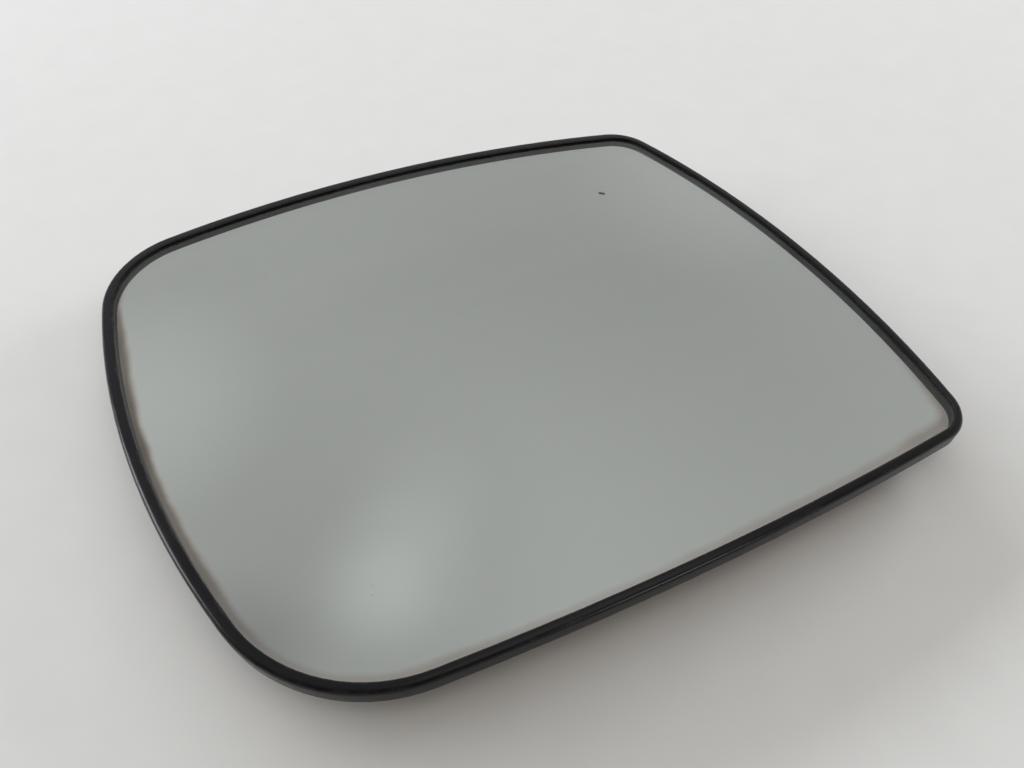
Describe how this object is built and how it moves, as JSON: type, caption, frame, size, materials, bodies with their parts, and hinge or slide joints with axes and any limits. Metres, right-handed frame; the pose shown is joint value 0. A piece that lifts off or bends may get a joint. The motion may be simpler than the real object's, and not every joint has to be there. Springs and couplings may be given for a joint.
{
  "type": "car door mirror glass",
  "caption": "Convex door mirror glass in a black moulded backing plate with a lipped rim, snap sockets for the pivot and drive screws, and ribs on its back.",
  "frame": {"origin": "on the pivot axis, at the mouth of the pivot socket, which is the plane the part rests on", "axes": "+X inboard along the bottom edge, +Y towards the top edge, +Z out of the mirror's face"},
  "size_m": [0.1913, 0.1541, 0.0166],
  "materials": {
    "mirror": "silvered glass, worn brown along its edge",
    "foam_tape": "closed-cell adhesive foam",
    "black_plastic": "satin moulded"
  },
  "bodies": {
    "root": {"mirror_glass": "mirror", "adhesive_pad": "foam_tape", "backing_plate": "black_plastic"}
  },
  "joints": []
}
